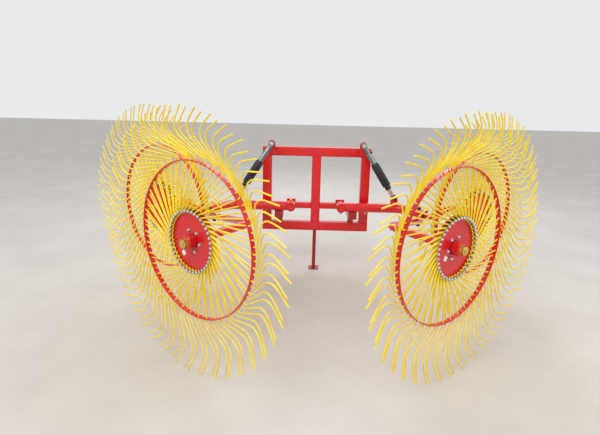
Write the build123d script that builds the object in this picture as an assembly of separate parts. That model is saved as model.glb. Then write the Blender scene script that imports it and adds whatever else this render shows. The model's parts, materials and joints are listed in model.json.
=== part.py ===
from build123d import *
import os
from math import cos, sin, tan, radians, hypot

os.makedirs("parts", exist_ok=True)

# Mounted wheel rake: a hitch frame carries two lifting booms, and each boom carries a
# front and a rear spider wheel of hairpin tines.
# Working frame: millimetres, +Z up, +Y forward to the tractor, Y = 0 on the rear face of
# the hitch frame, X = 0 on its middle. Everything is moved to the foot of its box at the end.

# Hitch frame of rectangular tube
FRAME_WIDTH = 906
FRAME_BOTTOM = 355
FRAME_TOP = 1075
BAR = 76
BAR_DEPTH = 60
BAR_WALL = 4
CROSS_BAR = 50
CROSS_BAR_Z = 575

# Stand leg, sliding in a square guide that is welded through the bottom rail
LEG = 30
LEG_WALL = 3
LEG_CLEARANCE = 0.3
GUIDE_WALL = 4
GUIDE_TOP_Z = 600
LEG_TOP_Z = 500
FOOT = 88
FOOT_THICK = 6

# Category 1 three-point hitch, on the front of the frame
LOWER_PIN_SPREAD = 683
LOWER_PIN_D = 22
LOWER_PIN_FREE = 64
LOWER_PIN_ROOT_D = 28
LOWER_LUG_THICK = 16
TOP_BORE_D = 19.2
TOP_GAP = 52
TOP_LUG_THICK = 10
MAST_HEIGHT = 460
LUG_REACH = 50
LUG_WIDTH = 64
PIN_HEAD = 6
PIN_HEAD_OVER = 8

# Booms: bent tubes that swing up about a fore-and-aft pin near the middle of the frame
BOOM_D = 76
BOOM_WALL = 5
BOOM_Z = 598
BOOM_BEND_R = 130
HINGE_X = 207
HINGE_D = 30
HINGE_CLEARANCE = 0.1
BOSS_D = 76
BOSS_LENGTH = 92
HINGE_FACE_GAP = 1
HINGE_HEAD_D = 52
HINGE_HEAD = 12
BRACKET = 74
BRACKET_THICK = 12

# Rests that the booms lie on, welded on the bottom rail
REST_X = 305
REST_FOOT = 46
REST_HEAD = 68
REST_HEAD_TALL = 62
REST_HEAD_PAST = 20
REST_SEAT_GAP = 0.3
REST_BAR_GAP = 0.3

# Wheels
WHEEL_YAW = 35.6
HOOP_R = 425
HOOP_THICK = 5
HOOP_WIDTH = 28
BOLT_CIRCLE_R = 164
HAIRPINS = 40
WIRE = 7
DISC_R = BOLT_CIRCLE_R + 14
DISC_THICK = 5
DISC_FACE = 6
FIRST_BOLT = 27.75
EYE_R = 8
EYE_GAP = 4.5
EYE_SEAT = 2.4
LEAD_HOLE_TURN = -24.05
TRAIL_HOLE_TURN = -37.55
LEAD_ELBOW_1_TURN = -0.7
TRAIL_ELBOW_1_TURN = -1
ELBOW_1_R = 448
ELBOW_2_R = 584
ELBOW_2_TURN = 20.5
ELBOW_2_BEND_R = 70
HUB_D = 76
HUB_BACK = 62
HUB_FRONT = 50
HUB_FLANGE_D = 150
HUB_FLANGE = 10
AXLE_D = 30
AXLE_CLEARANCE = 0.1
WASHER_D = 54
WASHER_THICK = 4
NUT_ACROSS = 46
NUT_THICK = 20

# Where the wheels stand: the front hub, and the rear hub's place from it along and across
# the wheels' common plane
FRONT_HUB_X = 1085
FRONT_HUB_Y = -645
REAR_ALONG = 745
REAR_ACROSS = 345

# Wheel arms: distances along the wheel axle line, behind the hub
ARM_D = 48
ARM_WALL = 4
ARM_BEND_R = 95
HUB_GAP = 1
AXLE_COLLAR = 4
AXLE_ROOT = 60
AXLE_END_OVER = 4
BOOM_CORNER_BACK = 650
BOOM_END_BACK = 410
FRONT_ARM_TAIL_BACK = 520
FRONT_ARM_BEND_A = 340
FRONT_ARM_BEND_B = 205
FRONT_ARM_BEND_R = 110
REAR_ARM_BOLT_BACK = 470
REAR_ARM_TAIL = 75
REAR_ARM_ELBOW_BACK = 440
CLAMP_SEAT = 4
CLAMP_BOLT_D = 16
CLAMP_BOLT_CLEARANCE = 0.5
CLAMP_BOLT_HEAD = 24
CLAMP_BOLT_HEAD_TALL = 12
CLAMP_BOLT_OVER = 6
CLAMP_HEAD_GAP = 0.3
CLAMP_NUT_GAP = 3.5
BUSH_LENGTH = 46
BUSH_LIP = 6

# Lift cylinders
CYL_TOP_X = 370
CYL_TOP_Z = 1108
CYL_FOOT_X = 642
CYL_FOOT_Z = 683
CYL_PIN_D = 20
CYL_EYE_D = 44
CYL_EYE_WIDE = 36
CYL_FOOT_CLEARANCE = 1.5
CYL_GAP = 2
CYL_LUG = 8
CYL_LUG_WIDE = 48
CYL_BRACKET_STUB = 50
CYL_BRACKET_NOSE_D = 56
BARREL_D = 40
BARREL_BORE_D = 30.4
BARREL_LENGTH = 296
ROD_D = 30
SLEEVE_D = 66
SLEEVE_BORE_D = 60
SLEEVE_START = 180
SLEEVE_END = 304
DUST_D = 58
DUST_BORE_D = 42
DUST_START = 292
DUST_END = 412
DUST_CAP = 10
SLEEVE_CAP = 10
SLEEVE_NECK = 14
SLEEVE_NECK_D = 50
BORE_START = 88
PORT_AT = 77
PORT_D = 18
PORT_TALL = 16
ROD_START = 190

ON_BASE = (Align.CENTER, Align.CENTER, Align.MIN)


def directed(start, end):
    """A plane at start that looks to end."""
    run = Vector(*end) - Vector(*start)
    side = Vector(0, 0, 1) if abs(run.normalized().Z) < 0.9 else Vector(1, 0, 0)
    return Plane(origin=start, x_dir=side.cross(run), z_dir=run)


def rod(start, end, diameter):
    length = (Vector(*end) - Vector(*start)).length
    return directed(start, end) * Cylinder(diameter / 2, length, align=ON_BASE)


def bent_tube(points, bend_radius, outer, wall):
    """A tube along straight runs and round bends; also returns the plug that would fill it."""
    path = FilletPolyline(*points, radius=bend_radius)
    start = Plane(path @ 0, z_dir=path % 0)
    solid = sweep(start * Circle(outer / 2), path=path)
    core = sweep(start * Circle(outer / 2 - wall), path=path)
    return solid - core, core


def box_tube(center, size, hollow_axis, wall):
    """A rectangular tube, open at both ends along one axis."""
    inner = [side - 2 * wall for side in size]
    inner["XYZ".index(hollow_axis)] = size["XYZ".index(hollow_axis)] + 2
    return Pos(*center) * (Box(*size) - Box(*inner))


def headed_pin(start, end, diameter):
    """A round pin from start to end with a flat head past each end."""
    run = (Vector(*end) - Vector(*start)).normalized()
    first, last = Vector(*start) - run * PIN_HEAD, Vector(*end) + run * PIN_HEAD
    head_d = diameter + PIN_HEAD_OVER
    return rod(first, last, diameter) + rod(first, start, head_d) + rod(end, last, head_d)


# Hitch frame
def frame_pieces():
    middle_y = BAR_DEPTH / 2
    inner_height = FRAME_TOP - FRAME_BOTTOM - 2 * BAR
    middle_z = (FRAME_TOP + FRAME_BOTTOM) / 2
    outer_x = (FRAME_WIDTH - BAR) / 2
    guide = LEG + 2 * LEG_CLEARANCE + 2 * GUIDE_WALL

    top = box_tube((0, middle_y, FRAME_TOP - BAR / 2), (FRAME_WIDTH, BAR_DEPTH, BAR), "X", BAR_WALL)
    bottom = box_tube((0, middle_y, FRAME_BOTTOM + BAR / 2), (FRAME_WIDTH, BAR_DEPTH, BAR), "X", BAR_WALL)
    guide_tall = GUIDE_TOP_Z - FRAME_BOTTOM
    guide_at = Pos(0, middle_y, FRAME_BOTTOM + guide_tall / 2)
    bottom -= guide_at * Box(guide, guide, guide_tall)
    bore = guide - 2 * GUIDE_WALL
    guide_tube = guide_at * (Box(guide, guide, guide_tall) - Box(bore, bore, guide_tall + 2))

    uprights = [box_tube((x, middle_y, middle_z), (BAR, BAR_DEPTH, inner_height), "Z", BAR_WALL)
                for x in (-outer_x, 0, outer_x)]
    reach = outer_x - BAR
    cross = [box_tube((side * (BAR / 2 + reach / 2), CROSS_BAR / 2, CROSS_BAR_Z),
                      (reach, CROSS_BAR, CROSS_BAR), "X", BAR_WALL) for side in (-1, 1)]
    return {
        "frame_rails": [top, bottom],
        "frame_uprights": uprights,
        "frame_cross_bars": cross,
        "stand_guide": [guide_tube],
    }


def boom_rests():
    """Posts on the bottom rail; each head reaches back under its boom and clears the cross bar."""
    rail_top = FRAME_BOTTOM + BAR
    seat = BOOM_Z - BOOM_D / 2 - REST_SEAT_GAP
    depth = BAR_DEPTH / 2 + REST_FOOT / 2 + REST_HEAD_PAST - boom_y
    post_tall = seat - REST_HEAD_TALL - rail_top
    post = Pos(0, BAR_DEPTH / 2, rail_top + post_tall / 2) * Box(REST_FOOT, REST_FOOT, post_tall)
    head_at = Pos(0, boom_y - REST_HEAD_PAST + depth / 2, seat - REST_HEAD_TALL / 2)
    head = head_at * Box(REST_HEAD, depth, REST_HEAD_TALL)
    room = CROSS_BAR + 2 * REST_BAR_GAP
    notch = Pos(0, CROSS_BAR / 2, CROSS_BAR_Z) * Box(2 * REST_HEAD, room, room)
    rest = post + (head - notch)
    return [Pos(side * REST_X, 0, 0) * rest for side in (-1, 1)]


def hitch_pieces():
    """Lugs on the frame's front: two with lower pins that face outwards, two for the top link's pin."""
    lower_z = FRAME_BOTTOM + BAR / 2
    pin_y = BAR_DEPTH + LUG_REACH
    lower_x = (LOWER_PIN_SPREAD - LOWER_LUG_THICK) / 2
    top_x = (TOP_GAP + TOP_LUG_THICK) / 2
    # columns: middle of the plate in X, height, plate thickness, diameter of the hole in it
    table = [
        (-lower_x, lower_z, LOWER_LUG_THICK, LOWER_PIN_ROOT_D),
        (lower_x, lower_z, LOWER_LUG_THICK, LOWER_PIN_ROOT_D),
        (-top_x, lower_z + MAST_HEIGHT, TOP_LUG_THICK, TOP_BORE_D),
        (top_x, lower_z + MAST_HEIGHT, TOP_LUG_THICK, TOP_BORE_D),
    ]
    lugs = []
    for x, z, thick, hole_d in table:
        flat = Pos(x, BAR_DEPTH + LUG_REACH / 2, z) * Box(thick, LUG_REACH, LUG_WIDTH)
        nose = rod((x - thick / 2, pin_y, z), (x + thick / 2, pin_y, z), LUG_WIDTH)
        lugs.append(flat + nose - rod((x - thick, pin_y, z), (x + thick, pin_y, z), hole_d))
    pins = []
    for side in (-1, 1):
        ends = [LOWER_PIN_SPREAD / 2 - LOWER_LUG_THICK, LOWER_PIN_SPREAD / 2]
        ends = [ends[0] - PIN_HEAD, *ends, ends[1] + LOWER_PIN_FREE]
        steps = [(side * x, pin_y, lower_z) for x in ends]
        head = rod(steps[0], steps[1], LOWER_PIN_ROOT_D + PIN_HEAD_OVER)
        pins.append(head + rod(steps[1], steps[2], LOWER_PIN_ROOT_D) + rod(steps[2], steps[3], LOWER_PIN_D))
    return {"hitch_lugs": lugs, "hitch_pins": pins}


def stand_leg():
    tall = LEG_TOP_Z - FOOT_THICK
    leg = box_tube((0, BAR_DEPTH / 2, FOOT_THICK + tall / 2), (LEG, LEG, tall), "Z", LEG_WALL)
    foot = Pos(0, BAR_DEPTH / 2, FOOT_THICK / 2) * Box(FOOT, FOOT, FOOT_THICK)
    return [leg + foot]


def hinge_mounts():
    """Plates on the cross bar, each with the pin, collar and head that hold a boom."""
    boss_front = boom_y + BOSS_LENGTH / 2
    boss_back = boom_y - BOSS_LENGTH / 2
    mounts = []
    for side in (-1, 1):
        x = side * HINGE_X
        plate = Pos(x, -BRACKET_THICK / 2, BOOM_Z) * Box(BRACKET, BRACKET_THICK, BRACKET)
        collar = rod((x, 0, BOOM_Z), (x, boss_front + HINGE_FACE_GAP, BOOM_Z), HINGE_HEAD_D)
        head_start = boss_back - HINGE_FACE_GAP
        pin = rod((x, 0, BOOM_Z), (x, head_start - HINGE_HEAD, BOOM_Z), HINGE_D)
        head = rod((x, head_start, BOOM_Z), (x, head_start - HINGE_HEAD, BOOM_Z), HINGE_HEAD_D)
        mounts.append(plate + collar + pin + head)
    return mounts


def cylinder_brackets():
    """Straps that stand on stubs behind the top rail; each holds a pin that the cylinder hangs on."""
    half = CYL_EYE_WIDE / 2 + CYL_GAP
    front, back = boom_y + half, boom_y - half
    stub_long = -front - CYL_LUG
    stub_z = FRAME_TOP - CYL_BRACKET_STUB / 2
    strap_bottom = FRAME_TOP - CYL_BRACKET_STUB
    brackets = []
    for side in (-1, 1):
        x = side * CYL_TOP_X
        stub_size = (CYL_BRACKET_STUB, stub_long, CYL_BRACKET_STUB)
        stub = box_tube((x, -stub_long / 2, stub_z), stub_size, "Y", BAR_WALL)
        tall = CYL_TOP_Z - strap_bottom
        strap = Pos(x, front + CYL_LUG / 2, strap_bottom + tall / 2) * Box(CYL_BRACKET_NOSE_D, CYL_LUG, tall)
        strap += rod((x, front, CYL_TOP_Z), (x, front + CYL_LUG, CYL_TOP_Z), CYL_BRACKET_NOSE_D)
        pin = headed_pin((x, front + CYL_LUG, CYL_TOP_Z), (x, back, CYL_TOP_Z), CYL_PIN_D)
        brackets.append(stub + strap + pin)
    return brackets


# One side: the pieces of the right boom and its two wheels
def boom_piece():
    """The bent boom tube with its hinge boss and the lugs and pin for its lift cylinder."""
    hinge = (HINGE_X, boom_y, BOOM_Z)
    tube, core = bent_tube([hinge, boom_corner, boom_end], BOOM_BEND_R, BOOM_D, BOOM_WALL)
    boss_ends = [(HINGE_X, boom_y + side * BOSS_LENGTH / 2, BOOM_Z) for side in (-1, 1)]
    boom = tube + rod(*boss_ends, BOSS_D)
    half = CYL_EYE_WIDE / 2 + CYL_GAP
    for side in (-1, 1):
        y = boom_y + side * (half + CYL_LUG / 2)
        tall = CYL_FOOT_Z - BOOM_Z
        plate = Pos(CYL_FOOT_X, y, BOOM_Z + tall / 2) * Box(CYL_LUG_WIDE, CYL_LUG, tall)
        faces = [(CYL_FOOT_X, y + end * CYL_LUG / 2, CYL_FOOT_Z) for end in (-1, 1)]
        boom += plate + rod(*faces, CYL_LUG_WIDE)
    boom -= core
    pin_ends = [(CYL_FOOT_X, boom_y + side * (half + CYL_LUG), CYL_FOOT_Z) for side in (1, -1)]
    boom += headed_pin(*pin_ends, CYL_PIN_D)
    boom -= rod(*[(HINGE_X, y * 2 - boom_y, z) for _, y, z in boss_ends], HINGE_D + 2 * HINGE_CLEARANCE)
    return boom - clamp_hole


def front_arm():
    """Bent tube from the boom's open end up to the front wheel."""
    points = [
        front_line(FRONT_ARM_TAIL_BACK, BOOM_Z),
        front_line(FRONT_ARM_BEND_A, BOOM_Z),
        front_line(FRONT_ARM_BEND_B, hub_z),
        front_line(arm_end_back, hub_z),
    ]
    return bent_tube(points, FRONT_ARM_BEND_R, ARM_D, ARM_WALL)[0] - clamp_hole


def boom_end_bush():
    lip = rod(boom_end, front_line(BOOM_END_BACK - BUSH_LIP, BOOM_Z), BOOM_D)
    sleeve = rod(front_line(BOOM_END_BACK + BUSH_LENGTH, BOOM_Z), boom_end, BOOM_D - 2 * BOOM_WALL)
    inner = front_line(BOOM_END_BACK + BUSH_LENGTH + 1, BOOM_Z)
    outer = front_line(BOOM_END_BACK - BUSH_LIP - 1, BOOM_Z)
    return lip + sleeve - rod(inner, outer, ARM_D)


def rear_arm():
    """Bent tube clamped under the boom, running back to the rear wheel's axle line."""
    points = [arm_tail, arm_elbow, rear_line(arm_end_back, hub_z)]
    return bent_tube(points, ARM_BEND_R, ARM_D, ARM_WALL)[0] - clamp_hole


def arm_clamp():
    """The upright bolt through boom, front arm and rear arm, with its head and nut."""
    x, y, z = arm_bolt
    top = BOOM_Z + BOOM_D / 2
    bottom = z - ARM_D / 2
    head, nut = RegularPolygon(CLAMP_BOLT_HEAD / 2, 6, major_radius=False), CLAMP_BOLT_HEAD_TALL
    foot = bottom - nut - CLAMP_NUT_GAP - CLAMP_BOLT_OVER
    bolt = Pos(x, y, foot) * Cylinder(CLAMP_BOLT_D / 2, top + CLAMP_HEAD_GAP + nut - foot, align=ON_BASE)
    bolt += Pos(x, y, top + CLAMP_HEAD_GAP) * extrude(head, nut)
    bolt += Pos(x, y, bottom - nut - CLAMP_NUT_GAP) * extrude(head, nut)
    return [bolt]


def wheel_axle(line):
    back = HUB_BACK + HUB_GAP
    collar_back = back + AXLE_COLLAR
    root = rod(line(collar_back + AXLE_ROOT, hub_z), line(collar_back, hub_z), ARM_D - 2 * ARM_WALL)
    collar = rod(line(collar_back, hub_z), line(back, hub_z), ARM_D)
    front = HUB_FRONT + HUB_GAP + WASHER_THICK + NUT_THICK + AXLE_END_OVER
    return root + collar + rod(line(back, hub_z), line(-front, hub_z), AXLE_D)


def axle_nut(line):
    start = HUB_FRONT + HUB_GAP
    washer = rod(line(-start, hub_z), line(-start - WASHER_THICK, hub_z), WASHER_D)
    nut_at = Plane(origin=line(-start - WASHER_THICK, hub_z), z_dir=outward)
    nut = nut_at * extrude(RegularPolygon(NUT_ACROSS / 2, 6, major_radius=False), NUT_THICK)
    return washer + nut - rod(line(0, hub_z), line(-start - 100, hub_z), AXLE_D)


def hairpin(hand):
    """One hairpin tine: two legs that leave the eye round its bolt, pass the hoop and bend twice."""
    trail_lift = DISC_FACE + EYE_SEAT + WIRE / 2
    lead_lift = trail_lift + WIRE + EYE_GAP
    # columns: turn of the hole from the bolt, side of the eye, then lift at the eye; turn from the
    # hole and lift at the first elbow; lift at the second; then radius, turn and lift of the tip
    table = [
        (LEAD_HOLE_TURN, 1, lead_lift, LEAD_ELBOW_1_TURN, 2.5, 65, 702, 13, 72),
        (TRAIL_HOLE_TURN, -1, trail_lift, TRAIL_ELBOW_1_TURN, -4.5, 74, 697, 12.3, 86),
    ]

    def at(radius, turn, lift):
        angle = hand * radians(turn)
        return Vector(radius * cos(angle), radius * sin(angle), lift)

    legs = []
    for hole, side, eye_lift, turn_1, lift_1, lift_2, tip_r, tip_turn, tip_lift in table:
        elbow_1 = at(ELBOW_1_R, hole + turn_1, lift_1)
        elbow_2 = at(ELBOW_2_R, hole + ELBOW_2_TURN, lift_2)
        tip = at(tip_r, hole + tip_turn, tip_lift)
        bolt = at(BOLT_CIRCLE_R, 0, eye_lift)
        run = (elbow_1 - bolt).normalized()
        across = Vector(-run.Y, run.X, 0) * side * hand
        eye = bolt - run * EYE_R + across * EYE_R
        back, ahead = (elbow_1 - elbow_2).normalized(), (tip - elbow_2).normalized()
        bend = radians(180 - back.get_angle(ahead))
        cut = ELBOW_2_BEND_R * (tan(bend / 2) - tan(bend / 4))
        legs.append([eye, elbow_1, elbow_2 + back * cut, elbow_2 + ahead * cut, tip])
    path = Polyline(*reversed(legs[0]), *legs[1])
    section = Plane(origin=path @ 0, x_dir=(0, 0, 1), z_dir=path % 0) * Rectangle(WIRE, WIRE)
    return sweep(section, path=path, transition=Transition.RIGHT)


def wheel_pieces(hand):
    """One wheel about its own axle: X along the wheel, Y up, Z out of its visible face."""
    pitch = 360 / HAIRPINS
    first = hand * FIRST_BOLT
    wire = hairpin(hand)
    disc = Pos(0, 0, DISC_FACE - DISC_THICK) * Cylinder(DISC_R, DISC_THICK, align=ON_BASE)
    hub = Pos(0, 0, -HUB_BACK) * Cylinder(HUB_D / 2, HUB_BACK + HUB_FRONT, align=ON_BASE)
    flange_at = Pos(0, 0, DISC_FACE - DISC_THICK - HUB_FLANGE)
    flange = flange_at * Cylinder(HUB_FLANGE_D / 2, HUB_FLANGE, align=ON_BASE)
    bore = Cylinder(AXLE_D / 2 + AXLE_CLEARANCE, 4 * HUB_BACK)
    hoop = Cylinder(HOOP_R + HOOP_THICK / 2, HOOP_WIDTH) - Cylinder(HOOP_R - HOOP_THICK / 2, HOOP_WIDTH)
    return {
        "tines": [Rot(0, 0, first + k * pitch) * wire for k in range(HAIRPINS)],
        "hoop": [hoop],
        "disc": [disc - Cylinder(HUB_D / 2, 4 * (DISC_FACE + DISC_THICK))],
        "hub": [hub + flange - bore],
    }


def cylinder_pieces():
    """The right lift cylinder, built along its own axis from the top pin and then laid in place."""
    length = hypot(CYL_FOOT_X - CYL_TOP_X, CYL_FOOT_Z - CYL_TOP_Z)
    lay = Plane(origin=(CYL_TOP_X, boom_y, CYL_TOP_Z), x_dir=(0, 1, 0),
                z_dir=(CYL_FOOT_X - CYL_TOP_X, 0, CYL_FOOT_Z - CYL_TOP_Z))

    def ring(start, end, outer, inner):
        piece = Pos(0, 0, start) * Cylinder(outer / 2, end - start, align=ON_BASE)
        return piece - Pos(0, 0, start - 1) * Cylinder(inner / 2, end - start + 2, align=ON_BASE)

    def eye(at):
        return Pos(0, 0, at) * Rot(0, 90, 0) * Cylinder(CYL_EYE_D / 2, CYL_EYE_WIDE)

    def eye_hole(at, clearance):
        return Pos(0, 0, at) * Rot(0, 90, 0) * Cylinder(CYL_PIN_D / 2 + clearance, 2 * CYL_EYE_WIDE)

    barrel = eye(0) + Cylinder(BARREL_D / 2, BARREL_LENGTH, align=ON_BASE)
    barrel -= Pos(0, 0, BORE_START) * Cylinder(BARREL_BORE_D / 2, BARREL_LENGTH, align=ON_BASE)
    port = Rot(-90, 0, 0) * Cylinder(PORT_D / 2, BARREL_D / 2 + PORT_TALL, align=ON_BASE)
    barrel = barrel + Pos(0, 0, PORT_AT) * port - eye_hole(0, HINGE_CLEARANCE)

    sleeve = ring(SLEEVE_START, SLEEVE_END, SLEEVE_D, SLEEVE_BORE_D)
    sleeve += ring(SLEEVE_START, SLEEVE_START + SLEEVE_CAP, SLEEVE_D, BARREL_D)
    sleeve += ring(SLEEVE_START - SLEEVE_NECK, SLEEVE_START, SLEEVE_NECK_D, BARREL_D)

    dust = ring(DUST_START, DUST_END, DUST_D, DUST_BORE_D)
    dust += ring(DUST_END - DUST_CAP, DUST_END, DUST_D, ROD_D)

    ram = Pos(0, 0, ROD_START) * Cylinder(ROD_D / 2, length - ROD_START, align=ON_BASE)
    ram = ram + eye(length) - eye_hole(length, CYL_FOOT_CLEARANCE)
    pieces = {
        "cylinder_barrel": barrel,
        "cylinder_sleeve": sleeve,
        "cylinder_dust_tube": dust,
        "cylinder_rod": ram,
    }
    return {name: [lay * piece] for name, piece in pieces.items()}


# Places on the right side, worked out from the wheels
yaw = radians(WHEEL_YAW)
outward = Vector(sin(yaw), -cos(yaw), 0)
along = Vector(cos(yaw), sin(yaw), 0)
right_wheel = wheel_pieces(-1)
hub_z = -min(tine.bounding_box().min.Y for tine in right_wheel["tines"])
front_hub = Vector(FRONT_HUB_X, FRONT_HUB_Y, 0)
rear_hub = front_hub - along * REAR_ALONG + outward * REAR_ACROSS


def front_line(back, z):
    """A point on the front wheel's axle line, so far behind its hub, at height z."""
    point = front_hub - outward * back
    return (point.X, point.Y, z)


def rear_line(back, z):
    point = rear_hub - outward * back
    return (point.X, point.Y, z)


boom_corner = front_line(BOOM_CORNER_BACK, BOOM_Z)
boom_end = front_line(BOOM_END_BACK, BOOM_Z)
boom_y = boom_corner[1]
arm_end_back = HUB_BACK + HUB_GAP + AXLE_COLLAR
arm_bolt = front_line(REAR_ARM_BOLT_BACK, BOOM_Z - BOOM_D / 2 - CLAMP_SEAT - ARM_D / 2)
arm_elbow = rear_line(REAR_ARM_ELBOW_BACK, hub_z)
arm_run = (Vector(*arm_elbow) - Vector(*arm_bolt)).normalized()
arm_tail = Vector(*arm_bolt) - arm_run * REAR_ARM_TAIL
clamp_hole_r = CLAMP_BOLT_D / 2 + CLAMP_BOLT_CLEARANCE
clamp_hole = Pos(arm_bolt[0], arm_bolt[1], BOOM_Z) * Cylinder(clamp_hole_r, 4 * BOOM_D)

nodes = frame_pieces()
nodes["boom_rests"] = boom_rests()
nodes.update(hitch_pieces())
nodes["stand_leg"] = stand_leg()
nodes["boom_hinge_mounts"] = hinge_mounts()
nodes["cylinder_brackets"] = cylinder_brackets()

right = {
    "boom": [boom_piece()],
    "boom_end_bush": [boom_end_bush()],
    "front_arm": [front_arm()],
    "rear_arm": [rear_arm()],
    "arm_clamp": arm_clamp(),
    "wheel_axles": [wheel_axle(front_line), wheel_axle(rear_line)],
    "axle_nuts": [axle_nut(front_line), axle_nut(rear_line)],
}
right.update(cylinder_pieces())
for place, line in (("front", front_line), ("rear", rear_line)):
    stand = Plane(origin=line(0, hub_z), x_dir=along, z_dir=outward)
    for name, pieces in right_wheel.items():
        right[f"{place}_wheel_{name}"] = [stand * piece for piece in pieces]

for name, pieces in right.items():
    nodes[f"{name}_right"] = pieces
    nodes[f"{name}_left"] = [mirror(piece, about=Plane.YZ) for piece in pieces]

# The origin goes to the foot of the whole machine's box
solids = {name: [solid for piece in pieces for solid in piece.solids()] for name, pieces in nodes.items()}
boxes = [solid.bounding_box() for group in solids.values() for solid in group]
middle_y = (min(box.min.Y for box in boxes) + max(box.max.Y for box in boxes)) / 2
for name, group in solids.items():
    placed = [Pos(0, -middle_y, 0) * solid for solid in group]
    export_step(Compound(placed), f"parts/{name}.step")
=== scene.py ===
import json
from math import atan2, cos, hypot, pi, radians, sin

import bmesh
import bpy
from bpy.props import FloatProperty, FloatVectorProperty, IntProperty, PointerProperty
from mathutils import Matrix, Vector


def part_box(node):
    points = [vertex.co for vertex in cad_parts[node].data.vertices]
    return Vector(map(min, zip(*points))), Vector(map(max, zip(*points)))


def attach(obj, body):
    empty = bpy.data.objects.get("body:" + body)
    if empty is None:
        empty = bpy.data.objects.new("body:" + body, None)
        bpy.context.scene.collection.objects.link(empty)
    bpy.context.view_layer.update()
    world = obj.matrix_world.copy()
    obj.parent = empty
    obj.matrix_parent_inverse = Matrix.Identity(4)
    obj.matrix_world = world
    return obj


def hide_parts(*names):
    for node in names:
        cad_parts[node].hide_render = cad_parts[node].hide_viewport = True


bl_info = {
    "name": "Wheel rake",
    "version": (1, 0, 0),
    "blender": (4, 5, 0),
    "location": "View3D > Sidebar > Rake",
    "description": "Makes the finished pieces of a mounted rake with four tined wheels",
    "category": "Object",
}

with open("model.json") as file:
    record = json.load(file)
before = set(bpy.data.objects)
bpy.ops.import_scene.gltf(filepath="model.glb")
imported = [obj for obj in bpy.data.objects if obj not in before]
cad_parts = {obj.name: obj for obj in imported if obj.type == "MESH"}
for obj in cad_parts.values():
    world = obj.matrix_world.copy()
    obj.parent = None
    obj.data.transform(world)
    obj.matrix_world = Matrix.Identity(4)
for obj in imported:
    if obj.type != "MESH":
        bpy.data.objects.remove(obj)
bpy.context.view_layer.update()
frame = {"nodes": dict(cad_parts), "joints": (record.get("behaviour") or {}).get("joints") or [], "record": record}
SIGNS = {"left": -1, "right": 1}
RIGHT, AHEAD, BEHIND, DOWN = (1, 0, 0), (0, 1, 0), (0, -1, 0), (0, 0, -1)
UP = Vector((0, 0, 1))
WELD_APART = 0.00002  # corners nearer than this are one


# Colours and materials

def linear(code):
    """An sRGB hex colour as linear red, green, blue and alpha."""
    parts = [int(code[i:i + 2], 16) / 255 for i in (1, 3, 5)]
    return (*[c / 12.92 if c <= 0.04045 else ((c + 0.055) / 1.055) ** 2.4 for c in parts], 1.0)


def add(tree, kind, inputs=(), stops=(), **settings):
    """Adds a node with its settings, its colour stops and its inputs.

    An input is a value, a hex colour or another node's output; a stop is a place and a hex colour.
    """
    node = tree.nodes.new(kind)
    for name, value in settings.items():
        setattr(node, name, value)
    if stops:
        elements = node.color_ramp.elements
        while len(elements) < len(stops):
            elements.new(0.5)
        for element, (place, code) in zip(elements, stops):
            element.position = place
            element.color = linear(code)
    for socket, value in dict(inputs).items():
        if isinstance(value, bpy.types.NodeSocket):
            tree.links.new(value, node.inputs[socket])
        else:
            colour = isinstance(value, str) and value.startswith("#")
            node.inputs[socket].default_value = linear(value) if colour else value
    return node


def new_material(name, patterns):
    """A material, its tree, and a factor for each pattern of noise.

    A pattern is the width of its blotches in millimetres, its detail and its roughness.
    """
    material = bpy.data.materials.new(name)
    material.use_nodes = True
    tree = material.node_tree
    tree.nodes.clear()
    place = add(tree, "ShaderNodeTexCoord").outputs["Object"]
    factors = [add(tree, "ShaderNodeTexNoise", {
        "Vector": place, "Scale": 1000 / wide, "Detail": detail, "Roughness": rough}).outputs["Fac"]
        for wide, detail, rough in patterns]
    return material, tree, factors


def coated(material, tree, grain, strength, depth, inputs):
    """Ends a material: its shader's inputs, and a bump from the grain so many millimetres deep."""
    bump = add(tree, "ShaderNodeBump", {"Height": grain, "Strength": strength, "Distance": depth / 1000})
    shader = add(tree, "ShaderNodeBsdfPrincipled", {**inputs, "Normal": bump.outputs[0]})
    add(tree, "ShaderNodeOutputMaterial", {"Surface": shader.outputs[0]})
    return material


def sprayed_enamel(name, tones):
    """Gloss enamel sprayed over welded steel: slow drifts of tone, orange peel, and a pale pink on what faces up
    that is partly dust and partly a painted reflection of the bright sky.
    """
    # Scuffs down to the primer are a few millimetres long and sparse
    material, tree, (drift, cloud, scuff, peel) = new_material(
        name, [(260, 4, 0.5), (45, 5, 0.65), (9, 6, 0.7), (3.5, 2, 0.5)])
    tone = add(tree, "ShaderNodeValToRGB", {"Fac": drift}, tones).outputs["Color"]
    normal = add(tree, "ShaderNodeNewGeometry").outputs["Normal"]
    upward = add(tree, "ShaderNodeSeparateXYZ", {0: normal}).outputs["Z"]
    # columns: factor, its two ends, and what they become
    flat, film, bare, gloss = [add(tree, "ShaderNodeMapRange", dict(enumerate(row))).outputs[0] for row in (
        (upward, 0.35, 1.0, 0.0, 1.0), (cloud, 0.38, 0.72, 0.0, 0.06),
        (scuff, 0.86, 0.88, 0.0, 1.0), (cloud, 0.3, 0.8, 0.24, 0.36))]
    # Pale pink in patches on upward faces: partly dust, partly a painted sky reflection on the tops
    dust_and_sheen = add(tree, "ShaderNodeMath", {0: flat, 1: film}, operation="MULTIPLY").outputs[0]
    dust_and_sheen_colour = add(tree, "ShaderNodeMix", {0: dust_and_sheen, 6: tone, 7: "#C9A79C"}, data_type="RGBA").outputs[2]
    colour = add(tree, "ShaderNodeMix", {0: bare, 6: dust_and_sheen_colour, 7: "#6E2A2B"}, data_type="RGBA").outputs[2]
    rough = add(tree, "ShaderNodeMath", {0: gloss, 1: dust_and_sheen}, operation="ADD").outputs[0]
    return coated(material, tree, peel, 0.10, 0.4, {
        "Base Color": colour, "Roughness": rough, "Coat Weight": 0.25, "Coat Roughness": 0.12})


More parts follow.
